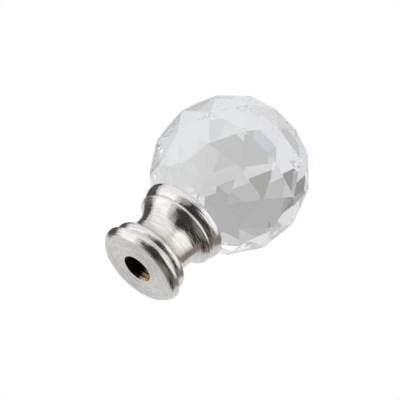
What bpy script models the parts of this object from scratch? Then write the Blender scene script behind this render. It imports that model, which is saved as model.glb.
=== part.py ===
"""Lamp shade finial: a faceted crystal ball glued into the dished top of a turned metal base.

Metres, +Z up. The screw axis is the Z axis and the origin is the middle of the base's flat
underside, which rests on the lamp harp and carries a tapped blind hole.
"""

import math

import bmesh
import bpy
from mathutils import Matrix, Vector

MM = 0.001

# Ball: rows of triangular facets, each row turned by half a facet from the next.
BALL_RADIUS = 15.0 * MM
FACETS_ROUND = 12
ROWS_TO_POLE = 4

# Dish that the ball is glued into, and the flat land round it. The collar is built out from these.
GLUE_GAP = 0.3 * MM
DISH_DEPTH = 1.1 * MM
RIM_LAND = 0.6 * MM

# Bands of the base from the underside up. A crown is the share of a band's height where it is widest,
# and a swell is how far it stands out there from its lower end.
SEAT_RADIUS = 7.28 * MM
FOOT_HEIGHT = 2.12 * MM
FOOT_SWELL = 0.97 * MM
FOOT_CROWN = 0.68
GROOVE_INSET = 0.2 * MM
GROOVE_LAND = 0.28 * MM
BEAD_HEIGHT = 2.1 * MM
BEAD_SWELL = 0.47 * MM
BEAD_CROWN = 0.52
BEAD_TOP_INSET = 0.48 * MM
SHOULDER_STEP = 0.15 * MM
NECK_HEIGHT = 6.2 * MM
NECK_RADIUS = 5.87 * MM
NECK_WAIST = 0.34
FLARE_POWER = 2.6
LIP_HEIGHT = 0.35 * MM
LIP_SWELL = 0.08 * MM
LIP_CROWN = 0.43
SCORE_STEP = 0.21 * MM
COLLAR_HEIGHT = 2.75 * MM
COLLAR_FOOT_INSET = 0.44 * MM
COLLAR_SWELL = 0.86 * MM
COLLAR_CROWN = 0.84

# Tapped hole, drawn plain at about its thread's pitch diameter.
HOLE_RADIUS = 2.89 * MM
DRILL_POINT_HALF_ANGLE = math.radians(59)
METAL_OVER_HOLE = 1.6 * MM

SEGMENTS_ROUND = 64
BAND_STEPS = 4
LIP_STEPS = 2
COVE_STEPS = 8
SPOOL_SHARP_ANGLE = math.radians(35)
BALL_SHARP_ANGLE = math.radians(1)

NICKEL = (0.62, 0.60, 0.57, 1.0)
NICKEL_ROUGHNESS = 0.28
CRYSTAL = (0.93, 0.95, 0.97, 1.0)
CRYSTAL_ROUGHNESS = 0.02


def row_latitude(row):
    return row * math.radians(90) / ROWS_TO_POLE


# The ball's flat table, and the lowest row of facets that slopes up from it.
TABLE_ROW = ROWS_TO_POLE - 1
TABLE_RADIUS = BALL_RADIUS * math.cos(row_latitude(TABLE_ROW))
TABLE_DROP = BALL_RADIUS * math.sin(row_latitude(TABLE_ROW))
LOW_ROW_RADIUS = BALL_RADIUS * math.cos(row_latitude(TABLE_ROW - 1))
LOW_ROW_DROP = BALL_RADIUS * math.sin(row_latitude(TABLE_ROW - 1))
LOW_ROW_SLOPE = (TABLE_DROP - LOW_ROW_DROP) / (LOW_ROW_RADIUS - TABLE_RADIUS)

# The dish runs parallel to the table and that row, one glue gap away.
DISH_FLOOR_RADIUS = TABLE_RADIUS + GLUE_GAP * (math.hypot(1, LOW_ROW_SLOPE) - 1) / LOW_ROW_SLOPE
RIM_RADIUS = DISH_FLOOR_RADIUS + DISH_DEPTH / LOW_ROW_SLOPE + RIM_LAND

BEAD_BASE = FOOT_HEIGHT + GROOVE_LAND
NECK_BASE = BEAD_BASE + BEAD_HEIGHT
LIP_BASE = NECK_BASE + NECK_HEIGHT
COLLAR_BASE = LIP_BASE + LIP_HEIGHT
RIM_HEIGHT = COLLAR_BASE + COLLAR_HEIGHT
DISH_FLOOR_HEIGHT = RIM_HEIGHT - DISH_DEPTH
BALL_HEIGHT = DISH_FLOOR_HEIGHT + GLUE_GAP + TABLE_DROP
HOLE_TIP_HEIGHT = DISH_FLOOR_HEIGHT - METAL_OVER_HOLE
HOLE_DEPTH = HOLE_TIP_HEIGHT - HOLE_RADIUS / math.tan(DRILL_POINT_HALF_ANGLE)


def clear_scene():
    for old in list(bpy.data.objects):
        bpy.data.objects.remove(old, do_unlink=True)


def make_material(name, colour, roughness, metallic, transmission):
    material = bpy.data.materials.new(name)
    material.use_nodes = True
    shader = material.node_tree.nodes["Principled BSDF"]
    shader.inputs["Base Color"].default_value = colour
    shader.inputs["Roughness"].default_value = roughness
    shader.inputs["Metallic"].default_value = metallic
    shader.inputs["Transmission Weight"].default_value = transmission
    return material


def finish_object(bm, name, material, sharp_angle):
    bmesh.ops.recalc_face_normals(bm, faces=bm.faces)
    mesh = bpy.data.meshes.new(name)
    bm.to_mesh(mesh)
    bm.free()
    mesh.materials.append(material)
    mesh.shade_smooth()
    mesh.set_sharp_from_angle(angle=sharp_angle)
    placed = bpy.data.objects.new(name, mesh)
    bpy.context.scene.collection.objects.link(placed)
    return placed


def crowned_band(low, high, swell, crown, steps):
    """(radius, height) points from low towards high, without high: two parabolas that meet at the crown."""
    widest = low[0] + swell
    middle = low[1] + (high[1] - low[1]) * crown
    points = []
    for step in range(steps):
        share = step / steps
        points.append((widest - swell * (1 - share) ** 2, low[1] + (middle - low[1]) * share))
    for step in range(steps):
        share = step / steps
        points.append((widest - (widest - high[0]) * share**2, middle + (high[1] - middle) * share))
    return points


def coved_neck(low, waist, high):
    """Points of the hollow neck: a quarter ellipse up to the waist, then a flare that steepens outward."""
    points = []
    for step in range(COVE_STEPS):
        turn = 0.5 * math.pi * step / COVE_STEPS
        radius = waist[0] + (low[0] - waist[0]) * (1 - math.sin(turn))
        points.append((radius, waist[1] + (low[1] - waist[1]) * math.cos(turn)))
    for step in range(COVE_STEPS):
        share = step / COVE_STEPS
        radius = waist[0] + (high[0] - waist[0]) * share**FLARE_POWER
        points.append((radius, waist[1] + (high[1] - waist[1]) * share))
    return points


def base_profile():
    """(radius, height) points of the spool, from the hole's mouth round the outside to the dish's middle."""
    groove_radius = SEAT_RADIUS - GROOVE_INSET
    groove_low = (groove_radius, FOOT_HEIGHT)
    groove_high = (groove_radius, BEAD_BASE)
    bead_top = (groove_radius - BEAD_TOP_INSET, NECK_BASE)
    neck_foot = (bead_top[0] - SHOULDER_STEP, NECK_BASE)
    waist = (NECK_RADIUS, NECK_BASE + NECK_WAIST * NECK_HEIGHT)
    collar_foot = (RIM_RADIUS - COLLAR_FOOT_INSET, COLLAR_BASE)
    flare_top = (collar_foot[0] + SCORE_STEP, LIP_BASE)
    rim = (RIM_RADIUS, RIM_HEIGHT)
    points = [(HOLE_RADIUS, 0.0)]
    points += crowned_band((SEAT_RADIUS, 0.0), groove_low, FOOT_SWELL, FOOT_CROWN, BAND_STEPS)
    points.append(groove_low)
    points += crowned_band(groove_high, bead_top, BEAD_SWELL, BEAD_CROWN, BAND_STEPS)
    points.append(bead_top)
    points += coved_neck(neck_foot, waist, flare_top)
    points += crowned_band(flare_top, collar_foot, LIP_SWELL, LIP_CROWN, LIP_STEPS)
    points += crowned_band(collar_foot, rim, COLLAR_SWELL, COLLAR_CROWN, BAND_STEPS)
    points += [rim, (RIM_RADIUS - RIM_LAND, RIM_HEIGHT)]
    points += [(DISH_FLOOR_RADIUS, DISH_FLOOR_HEIGHT), (0.0, DISH_FLOOR_HEIGHT)]
    return points


def spin_profile(points):
    """Turns (radius, height) points about Z into a closed bmesh; end points on the axis close it."""
    bm = bmesh.new()
    corners = [bm.verts.new((radius, 0.0, height)) for radius, height in points]
    edges = [bm.edges.new(pair) for pair in zip(corners, corners[1:])]
    bmesh.ops.spin(
        bm, geom=corners + edges, cent=(0, 0, 0), axis=(0, 0, 1), angle=math.tau,
        steps=SEGMENTS_ROUND, use_merge=True, use_duplicate=False,
    )
    bmesh.ops.remove_doubles(bm, verts=bm.verts, dist=0.001 * MM)
    return bm


def build_turned_base(material):
    hole = [(0.0, HOLE_TIP_HEIGHT), (HOLE_RADIUS, HOLE_DEPTH)]
    bm = spin_profile(hole + base_profile())
    return finish_object(bm, "turned_base", material, SPOOL_SHARP_ANGLE)


def build_crystal_ball(material):
    bm = bmesh.new()
    for row in range(-TABLE_ROW, TABLE_ROW + 1):
        latitude = row_latitude(row)
        half_turn = math.pi / FACETS_ROUND if row % 2 else 0.0
        lift = Matrix.Translation(Vector((0, 0, BALL_HEIGHT + BALL_RADIUS * math.sin(latitude))))
        bmesh.ops.create_circle(
            bm, cap_ends=False, segments=FACETS_ROUND, radius=BALL_RADIUS * math.cos(latitude),
            matrix=lift @ Matrix.Rotation(half_turn, 4, "Z"),
        )
    bmesh.ops.convex_hull(bm, input=bm.verts)
    return finish_object(bm, "crystal_ball", material, BALL_SHARP_ANGLE)


clear_scene()
build_turned_base(make_material("brushed_nickel", NICKEL, NICKEL_ROUGHNESS, metallic=1.0, transmission=0.0))
build_crystal_ball(make_material("clear_crystal", CRYSTAL, CRYSTAL_ROUGHNESS, metallic=0.0, transmission=1.0))
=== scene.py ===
# %% [markdown]
# # A crystal ball finial for a lamp shade
# This small ornament screws onto the stud at the top of a lamp harp and holds the shade down. It is
# made of two pieces: a clear ball, ground all over into flat triangular facets, and a little spool
# turned on a lathe from brass rod, nickel plated and brushed, with a tapped hole in its flat underside.
# The model stands upright on that underside. The camera looks at it from below, as the photograph does.
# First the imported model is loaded. Everything made here is in metres and in its frame.

# %% Load the frame
import math

import bmesh
import bpy
from mathutils import Matrix, Vector


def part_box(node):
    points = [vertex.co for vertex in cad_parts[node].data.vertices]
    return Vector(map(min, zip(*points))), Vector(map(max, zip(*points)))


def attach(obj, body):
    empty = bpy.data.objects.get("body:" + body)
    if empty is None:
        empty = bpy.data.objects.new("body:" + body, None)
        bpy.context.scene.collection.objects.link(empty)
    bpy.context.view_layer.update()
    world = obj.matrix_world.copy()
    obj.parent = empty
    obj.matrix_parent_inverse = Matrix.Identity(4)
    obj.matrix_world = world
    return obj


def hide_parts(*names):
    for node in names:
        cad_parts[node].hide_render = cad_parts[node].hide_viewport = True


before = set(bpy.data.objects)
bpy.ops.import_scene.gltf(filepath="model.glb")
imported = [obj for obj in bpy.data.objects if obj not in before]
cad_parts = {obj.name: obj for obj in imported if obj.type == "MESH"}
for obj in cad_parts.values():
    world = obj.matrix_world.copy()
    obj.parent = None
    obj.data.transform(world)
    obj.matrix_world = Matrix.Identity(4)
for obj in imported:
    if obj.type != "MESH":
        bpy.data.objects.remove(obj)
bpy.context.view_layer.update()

MM = 0.001
base_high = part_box("turned_base")[1]
ball_low, ball_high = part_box("crystal_ball")

# %% [markdown]
# ## Where the camera stands
# A camera could be placed by eye, but rings seen at an angle say exactly how a turned thing is tilted:
# each circle becomes an ellipse, and its flatness gives the angle. The flat underside faces the camera
# by about 29 degrees, the screw axis runs up to the right at about 45 degrees, and the near end of the
# spool is enlarged enough to put the lens about a quarter of a metre away. Turning the camera about its
# own line of sight gives the slanted pose without moving the part.

# %% Camera
AIM_HEIGHT = 18.66 * MM
AIM_SIDE = -0.56 * MM
CAMERA_AZIMUTH = math.radians(12.98)
CAMERA_ELEVATION = math.radians(-28.92)
CAMERA_ROLL = math.radians(44.36)
CAMERA_DISTANCE = 245.7 * MM
CAMERA_LENS_MM = 121.4


def direction(azimuth, elevation):
    """Unit vector: azimuth 0 points along -Y and turns towards +X, elevation rises towards +Z."""
    flat = math.cos(elevation)
    return Vector((math.sin(azimuth) * flat, -math.cos(azimuth) * flat, math.sin(elevation)))


def make_camera():
    back = direction(CAMERA_AZIMUTH, CAMERA_ELEVATION)
    level_right = Vector((math.cos(CAMERA_AZIMUTH), math.sin(CAMERA_AZIMUTH), 0.0))
    level_up = back.cross(level_right)
    right = level_right * math.cos(CAMERA_ROLL) + level_up * math.sin(CAMERA_ROLL)
    up = level_up * math.cos(CAMERA_ROLL) - level_right * math.sin(CAMERA_ROLL)
    aim = level_right * AIM_SIDE + Vector((0.0, 0.0, AIM_HEIGHT))
    camera = bpy.data.objects.new("camera", bpy.data.cameras.new("camera"))
    turn = Matrix((right, up, back)).transposed().to_4x4()
    camera.matrix_world = Matrix.Translation(aim + back * CAMERA_DISTANCE) @ turn
    camera.data.lens = CAMERA_LENS_MM
    camera.data.clip_start = MM
    bpy.context.scene.collection.objects.link(camera)
    bpy.context.scene.camera = camera
    return camera


camera = make_camera()
print("camera at", [round(value / MM, 1) for value in camera.matrix_world.translation], "mm")

# %% [markdown]
# ## The sizes of the spool
# A lathe hand thinks in bands: foot, groove, bead, neck, lip, collar. Each band has a height, a swell
# that says how far it stands out, and a crown that says how far up it is widest. The sizes were read off
# the photograph's edge on both sides of the spool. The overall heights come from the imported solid, so
# that the finer surface made here lies on the plain one.

# %% Sizes
BALL_RADIUS = (ball_high.x - ball_low.x) / 2
BALL_HEIGHT = (ball_high.z + ball_low.z) / 2
FACETS_ROUND = 12
ROWS_TO_POLE = 4

SEAT_RADIUS = 7.28 * MM
SEAT_CORNER = 0.1 * MM
FOOT_HEIGHT = 2.12 * MM
FOOT_SWELL = 0.97 * MM
FOOT_CROWN = 0.68
GROOVE_INSET = 0.2 * MM
GROOVE_LAND = 0.28 * MM
BEAD_HEIGHT = 2.1 * MM
BEAD_SWELL = 0.47 * MM
BEAD_CROWN = 0.52
BEAD_TOP_INSET = 0.48 * MM
SHOULDER_STEP = 0.15 * MM
NECK_HEIGHT = 6.2 * MM
NECK_RADIUS = 5.87 * MM
NECK_WAIST = 0.34
FLARE_POWER = 2.6
LIP_HEIGHT = 0.55 * MM
LIP_SWELL = 0.04 * MM
LIP_CROWN = 0.3
SCORE_STEP = 0.21 * MM
COLLAR_FOOT_INSET = 0.44 * MM
COLLAR_SWELL = 0.86 * MM
COLLAR_CROWN = 0.84
RIM_RADIUS = 8.08 * MM
RIM_LAND = 0.6 * MM
RIM_CORNER = 0.08 * MM
DISH_DEPTH = 1.1 * MM
DISH_FLOOR_RADIUS = 5.83 * MM

HOLE_RADIUS = 2.89 * MM
HOLE_DEPTH = 9.36 * MM
HOLE_TIP = 11.1 * MM
THREAD_PITCH = 0.94 * MM
THREAD_DEPTH = 0.4 * MM
THREAD_START = 0.3 * MM
THREAD_END = 8.2 * MM

BEAD_BASE = FOOT_HEIGHT + GROOVE_LAND
NECK_BASE = BEAD_BASE + BEAD_HEIGHT
LIP_BASE = NECK_BASE + NECK_HEIGHT
COLLAR_BASE = LIP_BASE + LIP_HEIGHT
RIM_HEIGHT = base_high.z
STEPS_ROUND = 160
STEPS_BAND = 10
STEPS_LIP = 4
STEPS_COVE = 22
print("rim at", round(RIM_HEIGHT / MM, 2), "mm, ball centre at", round(BALL_HEIGHT / MM, 2), "mm")

# %% [markdown]
# ## The outline that the lathe follows
# A bulging band is two parabolas that meet at its widest point, the crown: sliding the crown up makes the
# band lean outward, as the foot and the collar do. The neck is a hollow made of two curves that meet at
# the waist, steep below and flaring above into a thin lip, where a step parts the neck from the collar.

# %% Outline of the spool
def crowned_band(low, high, swell, crown, steps):
    """(radius, height) points from low towards high, without high: two parabolas that meet at the crown."""
    widest = low[0] + swell
    middle = low[1] + (high[1] - low[1]) * crown
    points = []
    for step in range(steps):
        share = step / steps
        points.append((widest - swell * (1 - share) ** 2, low[1] + (middle - low[1]) * share))
    for step in range(steps):
        share = step / steps
        points.append((widest - (widest - high[0]) * share**2, middle + (high[1] - middle) * share))
    return points


def coved_neck(low, waist, high):
    """Points of the hollow neck: a quarter ellipse up to the waist, then a flare that steepens outward."""
    points = []
    for step in range(STEPS_COVE):
        turn = 0.5 * math.pi * step / STEPS_COVE
        radius = waist[0] + (low[0] - waist[0]) * (1 - math.sin(turn))
        points.append((radius, waist[1] + (low[1] - waist[1]) * math.cos(turn)))
    for step in range(STEPS_COVE):
        share = step / STEPS_COVE
        radius = waist[0] + (high[0] - waist[0]) * share**FLARE_POWER
        points.append((radius, waist[1] + (high[1] - waist[1]) * share))
    return points


def spool_outline():
    groove_radius = SEAT_RADIUS - GROOVE_INSET
    groove_low = (groove_radius, FOOT_HEIGHT)
    groove_high = (groove_radius, BEAD_BASE)
    bead_top = (groove_radius - BEAD_TOP_INSET, NECK_BASE)
    neck_foot = (bead_top[0] - SHOULDER_STEP, NECK_BASE)
    waist = (NECK_RADIUS, NECK_BASE + NECK_WAIST * NECK_HEIGHT)
    collar_foot = (RIM_RADIUS - COLLAR_FOOT_INSET, COLLAR_BASE)
    flare_top = (collar_foot[0] + SCORE_STEP, LIP_BASE)
    rim = (RIM_RADIUS, RIM_HEIGHT - RIM_CORNER)
    seat_edge = (SEAT_RADIUS, SEAT_CORNER / 2)
    points = [(HOLE_RADIUS, 0.0), (SEAT_RADIUS - SEAT_CORNER, 0.0)]
    points += crowned_band(seat_edge, groove_low, FOOT_SWELL, FOOT_CROWN, STEPS_BAND)
    points.append(groove_low)
    points += crowned_band(groove_high, bead_top, BEAD_SWELL, BEAD_CROWN, STEPS_BAND)
    points.append(bead_top)
    points += coved_neck(neck_foot, waist, flare_top)
    points += crowned_band(flare_top, collar_foot, LIP_SWELL, LIP_CROWN, STEPS_LIP)
    points += crowned_band(collar_foot, rim, COLLAR_SWELL, COLLAR_CROWN, STEPS_BAND)
    points += [rim, (RIM_RADIUS - RIM_CORNER, RIM_HEIGHT), (RIM_RADIUS - RIM_LAND, RIM_HEIGHT)]
    points += [(DISH_FLOOR_RADIUS, RIM_HEIGHT - DISH_DEPTH), (0.0, RIM_HEIGHT - DISH_DEPTH)]
    return points


outline = spool_outline()
widest = max(radius for radius, height in outline)
print("outline has", len(outline), "points, widest at", round(widest / MM, 2), "mm radius")

# %% [markdown]
# ## Turning the spool
# Spinning a line of edges about the axis is the same move as the lathe's. The full turn is merged to its
# start, and the points on the axis are welded into one.

# %% Spin helper
MERGE_DISTANCE = 0.0005 * MM
LEVEL_TOLERANCE = 0.001 * MM


def spun(points, rise_per_turn=0.0):
    """Turns (radius, height) points about Z into a bmesh, rising by rise_per_turn like a screw."""
    bm = bmesh.new()
    corners = [bm.verts.new((radius, 0.0, height)) for radius, height in points]
    edges = [bm.edges.new(pair) for pair in zip(corners, corners[1:])]
    bmesh.ops.spin(
        bm, geom=corners + edges, cent=(0, 0, 0), axis=(0, 0, 1), angle=math.tau,
        dvec=(0, 0, rise_per_turn / STEPS_ROUND), steps=STEPS_ROUND, use_merge=rise_per_turn == 0.0,
    )
    bmesh.ops.remove_doubles(bm, verts=bm.verts, dist=MERGE_DISTANCE)
    return bm


def boundary_at(bm, height):
    """The open edges of bm that lie at this height."""
    found = []
    for edge in bm.edges:
        if edge.is_boundary and all(abs(corner.co.z - height) < LEVEL_TOLERANCE for corner in edge.verts):
            found.append(edge)
    return found


# %% [markdown]
# ## Cutting the thread
# A harp's stud is 6.35 mm with 27 threads to the inch, so the pitch is 0.94 mm. A texture could fake the
# turns, but one looks straight into this hole, and the lit ridges are real relief. A zigzag line is spun
# one full turn while it climbs by one pitch, which makes every turn of the thread at once. Two planes
# trim it square, and the cut edges are bridged to a short countersink at the mouth and to the drill's
# cone at the bottom, so the spool stays one closed surface.

# %% Thread
def threaded_wall():
    turns = math.ceil((THREAD_END - THREAD_START) / THREAD_PITCH) + 2
    zigzag = []
    for half_turn in range(2 * turns + 1):
        radius = HOLE_RADIUS if half_turn % 2 else HOLE_RADIUS - THREAD_DEPTH
        zigzag.append((radius, THREAD_START - THREAD_PITCH + half_turn * THREAD_PITCH / 2))
    bm = spun(zigzag, rise_per_turn=THREAD_PITCH)
    for height, keep_above in ((THREAD_START, True), (THREAD_END, False)):
        bmesh.ops.bisect_plane(
            bm, geom=bm.verts[:] + bm.edges[:] + bm.faces[:], plane_co=(0, 0, height), plane_no=(0, 0, 1),
            clear_inner=keep_above, clear_outer=not keep_above,
        )
    bmesh.ops.remove_doubles(bm, verts=bm.verts, dist=MERGE_DISTANCE)
    return bm


def joined(parts):
    """One bmesh with the geometry of all of them."""
    whole = bmesh.new()
    for part in parts:
        mesh = bpy.data.meshes.new("part")
        part.to_mesh(mesh)
        part.free()
        whole.from_mesh(mesh)
        bpy.data.meshes.remove(mesh)
    return whole


def turned_spool():
    tip = spun([(0.0, HOLE_TIP), (HOLE_RADIUS, HOLE_DEPTH)])
    outside = spun(outline)
    bm = joined([tip, outside, threaded_wall()])
    for near, far in ((0.0, THREAD_START), (HOLE_DEPTH, THREAD_END)):
        bmesh.ops.bridge_loops(bm, edges=boundary_at(bm, near) + boundary_at(bm, far))
    bmesh.ops.recalc_face_normals(bm, faces=bm.faces)
    return bm


spool = turned_spool()
open_edges = sum(edge.is_boundary for edge in spool.edges)
print("spool has", len(spool.faces), "faces and", open_edges, "open edges")

# %% [markdown]
# ## Grinding the ball
# The facets follow rings of corners, like the rows on a globe, 22.5 degrees of latitude apart, with
# twelve corners in each ring and each ring turned half a step from the next. A convex hull of all the
# corners gives the flat triangles without any list of faces. Real cut edges are never perfectly sharp,
# so a hair-thin bevel is ground along each of them, and that is what catches the light.

# %% Ball
FACET_EDGE = 0.025 * MM
FLAT_ANGLE = math.radians(0.5)


def cut_ball():
    bm = bmesh.new()
    for row in range(1 - ROWS_TO_POLE, ROWS_TO_POLE):
        latitude = row * math.radians(90) / ROWS_TO_POLE
        half_step = math.pi / FACETS_ROUND if row % 2 else 0.0
        lift = Matrix.Translation(Vector((0, 0, BALL_HEIGHT + BALL_RADIUS * math.sin(latitude))))
        bmesh.ops.create_circle(
            bm, cap_ends=False, segments=FACETS_ROUND, radius=BALL_RADIUS * math.cos(latitude),
            matrix=lift @ Matrix.Rotation(half_step, 4, "Z"),
        )
    bmesh.ops.convex_hull(bm, input=bm.verts)
    bmesh.ops.dissolve_limit(bm, angle_limit=FLAT_ANGLE, verts=bm.verts, edges=bm.edges)
    bmesh.ops.bevel(
        bm, geom=bm.edges[:], offset=FACET_EDGE, affect="EDGES", segments=1, profile=0.5, material=-1,
    )
    bmesh.ops.recalc_face_normals(bm, faces=bm.faces)
    return bm


ball = cut_ball()
print("ball has", len(ball.faces), "faces")

# %% [markdown]
# ## Node helpers
# Every finish below is a small network of nodes. These helpers keep the wiring short.

# %% Node helpers
def new_material(name):
    material = bpy.data.materials.new(name)
    material.use_nodes = True
    return material, material.node_tree.nodes["Principled BSDF"]


def add_node(material, kind, **values):
    """Adds a node and sets its properties, or its sockets where the name is a socket's."""
    node = material.node_tree.nodes.new(kind)
    for key, value in values.items():
        name = key.replace("_", " ").title()
        if name in node.inputs:
            node.inputs[name].default_value = value
        else:
            setattr(node, key, value)
    return node


def join(material, output, socket):
    material.node_tree.links.new(output, socket)


def math_node(material, operation, first, second):
    node = add_node(material, "ShaderNodeMath", operation=operation)
    for index, value in enumerate((first, second)):
        if isinstance(value, float):
            node.inputs[index].default_value = value
        else:
            join(material, value, node.inputs[index])
    return node.outputs[0]


# %% [markdown]
# ## Turning marks
# A lathe tool and a brush leave marks that run round the work and hardly change along it. Noise does
# this when it is stretched: it changes quickly with radius and height, and slowly with the direction
# from the axis. Four numbers are needed, so the noise is four-dimensional.

# %% Turning marks
def turning_marks(material, lines_per_mm, breaks_round, detail):
    coordinates = add_node(material, "ShaderNodeTexCoord")
    split = add_node(material, "ShaderNodeSeparateXYZ")
    join(material, coordinates.outputs["Object"], split.inputs[0])
    across = math_node(material, "POWER", split.outputs["X"], 2.0)
    deep = math_node(material, "POWER", split.outputs["Y"], 2.0)
    radius = math_node(material, "SQRT", math_node(material, "ADD", across, deep), 0.0)
    round_x = math_node(material, "DIVIDE", split.outputs["X"], radius)
    round_y = math_node(material, "DIVIDE", split.outputs["Y"], radius)
    place = add_node(material, "ShaderNodeCombineXYZ")
    join(material, math_node(material, "MULTIPLY", radius, lines_per_mm / MM), place.inputs["X"])
    join(material, math_node(material, "MULTIPLY", round_x, breaks_round), place.inputs["Y"])
    join(material, math_node(material, "MULTIPLY", round_y, breaks_round), place.inputs["Z"])
    noise = add_node(material, "ShaderNodeTexNoise", noise_dimensions="4D", scale=1.0, detail=detail)
    join(material, place.outputs[0], noise.inputs["Vector"])
    along = math_node(material, "MULTIPLY", split.outputs["Z"], lines_per_mm / MM)
    join(material, along, noise.inputs["W"])
    return noise.outputs["Fac"]


def ramp(material, value, low, high, low_at=0.35, high_at=0.65):
    """Maps value from low_at..high_at to low..high."""
    node = add_node(material, "ShaderNodeMapRange")
    for name, number in (("From Min", low_at), ("From Max", high_at), ("To Min", low), ("To Max", high)):
        node.inputs[name].default_value = number
    join(material, value, node.inputs["Value"])
    return node.outputs["Result"]


# %% [markdown]
# ## Brushed nickel
# Nickel is a warm grey metal. Brushing leaves it shiny but streaky, so reflections are drawn out along
# the screw axis, across the marks: that is what the anisotropic setting does, with a tangent that runs
# round the axis and is then turned by a quarter. Fine marks tilt the surface a little and leave some lines
# duller than others, so the edge of a dark reflection breaks up into hatching. Coarser marks change the
# tone.

# %% Brushed nickel
NICKEL_DARK = (0.62, 0.61, 0.598, 1.0)
NICKEL_LIGHT = (0.76, 0.755, 0.742, 1.0)
MARK_HEIGHT = 0.06 * MM
GLOSSY_LINE = 0.07
DULL_LINE = 0.29
STREAKING = 0.75
QUARTER_TURN = 0.25


def brushed_nickel():
    material, shader = new_material("brushed_nickel")
    shader.inputs["Metallic"].default_value = 1.0
    shader.inputs["Anisotropic"].default_value = STREAKING
    shader.inputs["Anisotropic Rotation"].default_value = QUARTER_TURN
    fine = turning_marks(material, lines_per_mm=3.2, breaks_round=2.6, detail=4.0)
    coarse = turning_marks(material, lines_per_mm=2.6, breaks_round=3.0, detail=3.0)
    tint = add_node(material, "ShaderNodeMix", data_type="RGBA")
    tint.inputs["A"].default_value = NICKEL_DARK
    tint.inputs["B"].default_value = NICKEL_LIGHT
    join(material, ramp(material, coarse, 0.0, 1.0), tint.inputs["Factor"])
    join(material, tint.outputs["Result"], shader.inputs["Base Color"])
    join(material, ramp(material, fine, GLOSSY_LINE, DULL_LINE), shader.inputs["Roughness"])
    bump = add_node(material, "ShaderNodeBump", strength=1.0, distance=MARK_HEIGHT)
    join(material, fine, bump.inputs["Height"])
    join(material, bump.outputs["Normal"], shader.inputs["Normal"])
    tangent = add_node(material, "ShaderNodeTangent", direction_type="RADIAL", axis="Z")
    join(material, tangent.outputs["Tangent"], shader.inputs["Tangent"])
    return material


nickel = brushed_nickel()
print("nickel uses", len(nickel.node_tree.nodes), "nodes")

# %% [markdown]
# ## Bare brass
# Plating hardly reaches into a small hole, so the thread keeps the colour of the brass. Most of it is
# painted nearly black as painted shade, and only the side where light falls in keeps the bright brass, as
# painted light.

# %% Bare brass
# Painted shade and light: the dark colour is painted shade in the hole, and the bright one is the brass
# where light falls.
BRASS_PAINTED_SHADE = (0.025, 0.018, 0.012, 1.0)
BRASS_LIT_SIDE = (0.85, 0.60, 0.38, 1.0)
LIT_SIDE_AZIMUTH = math.radians(100)
LIT_SIDE_FROM = 0.35
LIT_SIDE_FULLY_AT = 0.85
STAIN_SCALE = 900.0


def bare_brass():
    material, shader = new_material("bare_brass")
    shader.inputs["Metallic"].default_value = 1.0
    coordinates = add_node(material, "ShaderNodeTexCoord")
    stains = add_node(material, "ShaderNodeTexNoise", scale=STAIN_SCALE, detail=3.0)
    join(material, coordinates.outputs["Object"], stains.inputs["Vector"])
    tint = add_node(material, "ShaderNodeMix", data_type="RGBA")
    tint.inputs["A"].default_value = BRASS_PAINTED_SHADE
    tint.inputs["B"].default_value = BRASS_LIT_SIDE
    # Painted light: the wall turned towards one azimuth gets the bright brass as if lit, and the rest gets
    # the dark colour as painted shade.
    lit_side_facing = add_node(material, "ShaderNodeVectorMath", operation="DOT_PRODUCT")
    lit_side_facing.inputs[1].default_value = direction(LIT_SIDE_AZIMUTH, 0.0) / HOLE_RADIUS
    join(material, coordinates.outputs["Object"], lit_side_facing.inputs[0])
    side = ramp(material, lit_side_facing.outputs["Value"], 0.0, 1.0, LIT_SIDE_FROM, LIT_SIDE_FULLY_AT)
    patchy = ramp(material, stains.outputs["Fac"], 0.5, 1.0)
    join(material, math_node(material, "MULTIPLY", side, patchy), tint.inputs["Factor"])
    join(material, tint.outputs["Result"], shader.inputs["Base Color"])
    join(material, ramp(material, stains.outputs["Fac"], 0.45, 0.30), shader.inputs["Roughness"])
    return material


brass = bare_brass()
print("brass uses", len(brass.node_tree.nodes), "nodes")

# %% [markdown]
# ## Clear crystal
# Optical crown glass, sold as crystal, bends light by an index of about 1.52. It is quite clear and
# colourless. Polished facets are never perfectly flat, so a very faint and broad bump moves the
# reflections a little, as on the real ball.

# %% Clear crystal
CRYSTAL_INDEX = 1.517
CRYSTAL_COLOUR = (0.985, 0.99, 0.995, 1.0)
WAVE_SCALE = 160.0
WAVE_HEIGHT = 0.02 * MM
WAVE_STRENGTH = 0.06


def clear_crystal():
    material, shader = new_material("clear_crystal")
    shader.inputs["Base Color"].default_value = CRYSTAL_COLOUR
    shader.inputs["Roughness"].default_value = 0.0
    shader.inputs["Transmission Weight"].default_value = 1.0
    shader.inputs["IOR"].default_value = CRYSTAL_INDEX
    coordinates = add_node(material, "ShaderNodeTexCoord")
    waves = add_node(material, "ShaderNodeTexNoise", scale=WAVE_SCALE, detail=1.0)
    join(material, coordinates.outputs["Object"], waves.inputs["Vector"])
    bump = add_node(material, "ShaderNodeBump", strength=WAVE_STRENGTH, distance=WAVE_HEIGHT)
    join(material, waves.outputs["Fac"], bump.inputs["Height"])
    join(material, bump.outputs["Normal"], shader.inputs["Normal"])
    return material


crystal = clear_crystal()
print("crystal bends light by an index of", CRYSTAL_INDEX)

# %% [markdown]
# ## Placing the pieces
# Each finished mesh becomes an object at the origin that rides on the one body and stands for its plain
# solid.
# Faces inside the hole get the brass. The spool is shaded smooth, but corners sharper than 22 degrees stay
# crisp, or the flat underside would look round near its edge.
# Every facet of the ball is flat.

# %% Place the pieces
SPOOL_SHARP_ANGLE = math.radians(22)


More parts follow.
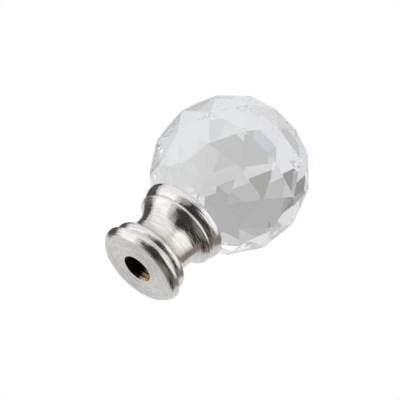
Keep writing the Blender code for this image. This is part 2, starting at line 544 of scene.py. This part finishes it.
def place_piece(bm, name, materials, body, node, sharp_angle):
    mesh = bpy.data.meshes.new(name)
    bm.to_mesh(mesh)
    bm.free()
    for material in materials:
        mesh.materials.append(material)
    if sharp_angle:
        mesh.shade_smooth()
        mesh.set_sharp_from_angle(angle=sharp_angle)
    else:
        mesh.shade_flat()
    piece = bpy.data.objects.new(name, mesh)
    bpy.context.scene.collection.objects.link(piece)
    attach(piece, body)
    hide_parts(node)
    print(name, "has", len(mesh.polygons), "faces")
    return piece


def inside_hole(face):
    middle = face.calc_center_median()
    return math.hypot(middle.x, middle.y) < HOLE_RADIUS and middle.z < HOLE_TIP


for face in spool.faces:
    face.material_index = int(inside_hole(face))

base_piece = place_piece(
    spool, "spool", [nickel, brass], "root", "turned_base", SPOOL_SHARP_ANGLE,
)
ball_piece = place_piece(ball, "cut_ball", [crystal], "root", "crystal_ball", None)

# %% [markdown]
# ## The studio
# Shiny and clear things show the room rather than themselves. Metal and glass want different rooms, and
# a photographer often lights them one after the other and joins the two exposures. So there are two
# surrounds here: one for what the metal reflects, one for what is seen through the crystal. Each is an
# even pale grey tent with a few soft panels and dark flags. They could be glowing sheets set round the
# part. Patches on the sky are simpler and give no noise: each is an ellipse with a soft edge, round a
# direction, laid over those before it. Straight behind the part the camera sees plain white.
# A patch has a name, an azimuth and elevation in degrees, half its width and half its height as shares of
# the distance, a turn in degrees, and a colour. The metal's surround has crisp edges, black flags low in
# front for the dark streaks, and bright panels left and right. Panels like these are best placed by hand.
# Here a separate program fitted ten or so to the tones of the photograph first, and its numbers were
# rounded. The three panels and the umber and under flags still have those places and sizes, and the panels'
# colours were changed a little. The others were moved, resized or darkened until the streaks looked right.

# %% What the metal reflects
METAL_SOFTNESS = 0.18
METAL_TENT = (0.82, 0.815, 0.80)
METAL_PATCHES = (
    ("left panel", -66, -11, 0.47, 1.1, -26, (1.32, 1.31, 1.285)),
    ("right panel", 56, 15, 0.64, 0.5, -12, (1.30, 1.285, 1.25)),
    ("front flag", 8, -42, 0.53, 0.79, -4, (0.045, 0.042, 0.037)),
    ("side flag", 70, -27, 1.0, 0.31, 12, (0.045, 0.042, 0.037)),
    ("low flag", 98, -46, 0.85, 0.3, 24, (0.05, 0.046, 0.04)),
    ("umber flag", 122, 37, 0.27, 1.6, -16, (0.30, 0.25, 0.21)),
    ("far left flag", -122, 11, 0.38, 0.66, 7, (0.10, 0.095, 0.09)),
    ("front card", -15, -7, 0.26, 0.62, -13, (0.50, 0.49, 0.47)),
    ("top panel", -42, 17, 0.93, 0.54, 20, (1.14, 1.13, 1.11)),
    ("under flag", 152, -66, 0.76, 0.42, 17, (0.30, 0.29, 0.26)),
)
print("the metal reflects", len(METAL_PATCHES), "patches")

# %% [markdown]
# ## What is seen through the ball
# A facet is a small window that shows another part of the room, turned and shrunk by the glass. Grey cards
# behind the ball make the grey facets in its middle, and faint blue and cyan gels stand in for the
# colours that real crystal splits white light into, which this renderer doesn't do. The tent's colour and
# the first seven patches are roughly rounded numbers from such a fit too. The rest were placed one by one,
# three of them starting from fitted ones, mostly with tones that follow single facets in the photograph.

# %% What the crystal shows
CRYSTAL_SOFTNESS = 0.3
CRYSTAL_TENT = (0.775, 0.78, 0.80)
CRYSTAL_PATCHES = (
    ("right panel", 66, 27, 0.76, 0.34, -5, (1.5, 1.5, 1.5)),
    ("front flag", 17, -38, 0.7, 0.87, 0, (0.46, 0.48, 0.50)),
    ("side flag", 65, -36, 0.98, 0.41, 20, (0.62, 0.63, 0.65)),
    ("low flag", 109, -38, 0.66, 0.36, 8, (0.2, 0.2, 0.2)),
    ("front card", 6, -8, 0.51, 0.44, 0, (0.6, 0.62, 0.6)),
    ("top panel", -47, 45, 0.75, 0.37, -9, (1.2, 1.2, 1.2)),
    ("high back card", 163, 48, 0.53, 0.26, -21, (0.67, 0.67, 0.67)),
    ("upper back card", -170, 36, 0.42, 0.2, 0, (0.64, 0.64, 0.64)),
    ("back card", -134, 38, 0.42, 0.55, 10, (0.45, 0.45, 0.45)),
    ("thin back card", -171, 18, 0.28, 0.18, -22, (0.53, 0.53, 0.53)),
    ("little card", -151, 14, 0.12, 0.07, 0, (0.65, 0.65, 0.65)),
    ("low back card", -155, -13, 0.2, 0.17, 0, (0.61, 0.61, 0.62)),
    ("lavender card", -166, 7, 0.16, 0.07, 0, (0.60, 0.61, 0.69)),
    ("small back card", 170, 17, 0.09, 0.07, 0, (0.66, 0.67, 0.70)),
    ("far left flag", -120, 5, 0.16, 0.38, 5, (0.26, 0.26, 0.27)),
    ("gap flag", -141, 9, 0.11, 0.1, 0, (0.29, 0.28, 0.30)),
    ("pale edge card", -153, 32, 0.12, 0.12, 0, (0.54, 0.54, 0.53)),
    ("slot flag", -152, 23, 0.11, 0.08, 0, (0.36, 0.36, 0.34)),
    ("grey side card", -108, 20, 0.2, 0.14, 0, (0.46, 0.46, 0.46)),
    ("small side card", -130, 5, 0.1, 0.1, 0, (0.52, 0.53, 0.54)),
    ("blue gel", -137, -30, 0.3, 0.14, 0, (0.58, 0.64, 0.75)),
    ("cyan gel", 84, 1, 0.16, 0.13, 0, (0.70, 0.88, 0.92)),
    ("low cyan gel", 158, -20, 0.16, 0.1, 0, (0.70, 0.90, 0.96)),
)
print("the crystal shows", len(CRYSTAL_PATCHES), "patches")


# %% [markdown]
# ## Laying the patches
# Each patch is a round gradient, moved, turned and stretched by a mapping, that mixes its colour over what
# lies below. What is seen through the ball has been bent by it, which the renderer marks on the ray, so
# one mix on that mark picks the surround.

# %% Patches of light
def lay_patches(tree, tent, patches, softness):
    """Adds the nodes of a tent with patches to the tree, and returns their colour output."""
    nodes = tree.nodes
    coordinates = nodes.new("ShaderNodeTexCoord")
    plain = nodes.new("ShaderNodeRGB")
    plain.outputs[0].default_value = (*tent, 1.0)
    light = plain.outputs[0]
    for name, azimuth, elevation, half_width, half_height, turn, colour in patches:
        outward = direction(math.radians(azimuth), math.radians(elevation))
        level_right = Vector((math.cos(math.radians(azimuth)), math.sin(math.radians(azimuth)), 0.0))
        level_up = outward.cross(level_right)
        swing = math.radians(turn)
        right = level_right * math.cos(swing) + level_up * math.sin(swing)
        up = level_up * math.cos(swing) - level_right * math.sin(swing)
        place = nodes.new("ShaderNodeMapping")
        place.label = name
        place.vector_type = "TEXTURE"
        place.inputs["Location"].default_value = outward
        place.inputs["Rotation"].default_value = Matrix((right, up, outward)).transposed().to_euler()
        place.inputs["Scale"].default_value = (half_width, half_height, 1.0)
        tree.links.new(coordinates.outputs["Generated"], place.inputs["Vector"])
        ellipse = nodes.new("ShaderNodeTexGradient")
        ellipse.gradient_type = "SPHERICAL"
        tree.links.new(place.outputs[0], ellipse.inputs["Vector"])
        edge = nodes.new("ShaderNodeMapRange")
        edge.interpolation_type = "SMOOTHSTEP"
        edge.inputs["From Max"].default_value = softness
        tree.links.new(ellipse.outputs["Fac"], edge.inputs["Value"])
        over = nodes.new("ShaderNodeMix")
        over.data_type = "RGBA"
        over.inputs["B"].default_value = (*colour, 1.0)
        tree.links.new(edge.outputs["Result"], over.inputs["Factor"])
        tree.links.new(light, over.inputs["A"])
        light = over.outputs["Result"]
    return light


def choose(tree, switch, when_off, when_on):
    """A mix of two colours that is one or the other as the switch is 0 or 1."""
    mix = tree.nodes.new("ShaderNodeMix")
    mix.data_type = "RGBA"
    tree.links.new(switch, mix.inputs["Factor"])
    tree.links.new(when_off, mix.inputs["A"])
    tree.links.new(when_on, mix.inputs["B"])
    return mix.outputs["Result"]


# %% [markdown]
# ## The room
# Light in the cut ball is turned back by facet after facet before it leaves. With too few bounces those
# paths end in the dark, and the ball gets a black rim that no real crystal has.

# %% Room
LIGHT_BOUNCES = 96


def make_room():
    world = bpy.data.worlds.new("room")
    world.use_nodes = True
    tree = world.node_tree
    around_metal = lay_patches(tree, METAL_TENT, METAL_PATCHES, METAL_SOFTNESS)
    through_crystal = lay_patches(tree, CRYSTAL_TENT, CRYSTAL_PATCHES, CRYSTAL_SOFTNESS)
    white = tree.nodes.new("ShaderNodeRGB")
    white.outputs[0].default_value = (1.0, 1.0, 1.0, 1.0)
    path = tree.nodes.new("ShaderNodeLightPath")
    light = choose(tree, path.outputs["Is Transmission Ray"], around_metal, through_crystal)
    light = choose(tree, path.outputs["Is Camera Ray"], light, white.outputs[0])
    tree.links.new(light, tree.nodes["Background"].inputs["Color"])
    bpy.context.scene.world = world
    bpy.context.scene.cycles.max_bounces = LIGHT_BOUNCES
    bpy.context.scene.cycles.transmission_bounces = LIGHT_BOUNCES
    bpy.context.scene.cycles.glossy_bounces = LIGHT_BOUNCES


make_room()
print("light may bounce", LIGHT_BOUNCES, "times")

# %% [markdown]
# ## Floor and lamp
# The floor lies a fifth of a millimetre below the underside, so that two flat faces never share a plane.
# Because the photograph looks from below, it is seen only from its upper side: from below it is not
# there. One soft lamp casts the shadow on it. It stays out of the reflections, where its round face
# would be a hot spot.

# %% Floor and lamp
FLOOR_DROP = 0.2 * MM
FLOOR_SIZE = 1.5
FLOOR_COLOUR = (0.86, 0.86, 0.85, 1.0)
FLOOR_ROUGHNESS = 0.9
LAMP_AIM = Vector((0.0, 0.0, BALL_HEIGHT))


def make_floor():
    bm = bmesh.new()
    bmesh.ops.create_grid(bm, x_segments=1, y_segments=1, size=FLOOR_SIZE)
    bmesh.ops.translate(bm, vec=(0, 0, -FLOOR_DROP), verts=bm.verts)
    mesh = bpy.data.meshes.new("floor")
    bm.to_mesh(mesh)
    bm.free()
    material, shader = new_material("pale_floor")
    shader.inputs["Base Color"].default_value = FLOOR_COLOUR
    shader.inputs["Roughness"].default_value = FLOOR_ROUGHNESS
    side = add_node(material, "ShaderNodeNewGeometry")
    clear = add_node(material, "ShaderNodeBsdfTransparent")
    mix = add_node(material, "ShaderNodeMixShader")
    join(material, side.outputs["Backfacing"], mix.inputs[0])
    join(material, shader.outputs[0], mix.inputs[1])
    join(material, clear.outputs[0], mix.inputs[2])
    join(material, mix.outputs[0], material.node_tree.nodes["Material Output"].inputs["Surface"])
    mesh.materials.append(material)
    floor = bpy.data.objects.new("floor", mesh)
    bpy.context.scene.collection.objects.link(floor)
    floor.visible_diffuse = False
    floor.visible_glossy = False
    floor.visible_transmission = False
    floor.visible_shadow = False


def make_lamp(name, azimuth, elevation, distance, size, power):
    lamp = bpy.data.lights.new(name, "AREA")
    lamp.shape = "DISK"
    lamp.size = size
    lamp.energy = power
    holder = bpy.data.objects.new(name, lamp)
    outward = direction(math.radians(azimuth), math.radians(elevation))
    place = Matrix.Translation(LAMP_AIM + outward * distance)
    holder.matrix_world = place @ outward.to_track_quat("Z", "Y").to_matrix().to_4x4()
    holder.visible_glossy = False
    holder.visible_transmission = False
    bpy.context.scene.collection.objects.link(holder)
    return holder


make_floor()
make_lamp("soft_key", azimuth=-40, elevation=55, distance=0.7, size=0.35, power=3.0)
bpy.context.scene.view_settings.view_transform = "Standard"
